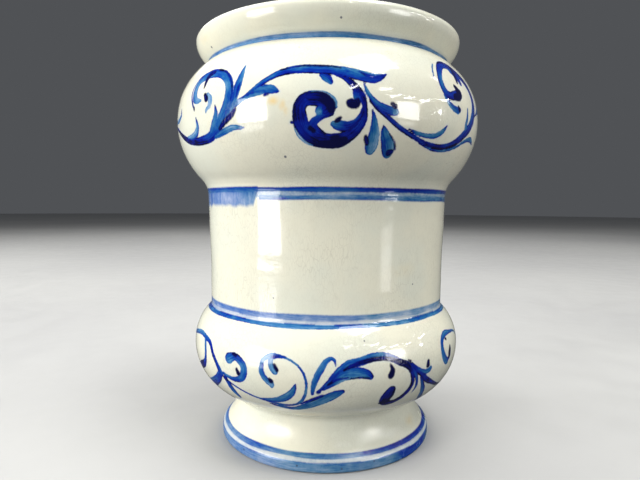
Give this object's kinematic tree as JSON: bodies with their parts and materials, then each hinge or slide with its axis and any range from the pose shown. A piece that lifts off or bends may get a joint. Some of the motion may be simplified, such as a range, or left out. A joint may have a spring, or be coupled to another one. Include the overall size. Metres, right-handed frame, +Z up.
{
  "type": "apothecary jar",
  "caption": "Tin-glazed earthenware storage jar with two bulbs, a straight waist and a spreading foot, open at the top, with blue painted scrollwork.",
  "frame": {"origin": "middle of the circle that the foot ring stands on, at table height", "axes": "+Z up along the jar's axis of rotation; -Y is the front"},
  "size_m": [0.1512, 0.1512, 0.2],
  "materials": {
    "clay": "bare fired earthenware, matt",
    "glaze_outside": "glossy cream tin glaze, finely crazed",
    "glaze_inside": "glossy cream tin glaze",
    "paint_cobalt": "dark cobalt painted into the glaze, glossy",
    "paint_wash": "thin cobalt wash in the glaze, glossy",
    "paint_pale": "pale cobalt wash in the glaze, glossy"
  },
  "bodies": {
    "root": {"clay_foot": "clay", "clay_lower_bulb": "clay", "clay_waist": "clay", "clay_upper_bulb": "clay", "clay_collar": "clay", "outer_glaze": "glaze_outside", "inner_glaze": "glaze_inside", "base_glaze": "glaze_inside", "neck_line": "paint_wash", "shoulder_line": "paint_cobalt", "shoulder_wash": "paint_wash", "waist_wash": "paint_pale", "waist_line": "paint_wash", "foot_line": "paint_wash", "foot_edge_wash": "paint_pale", "upper_scrolls": "paint_cobalt", "upper_leaves": "paint_wash", "lower_scrolls": "paint_cobalt", "lower_leaves": "paint_wash"}
  },
  "joints": []
}
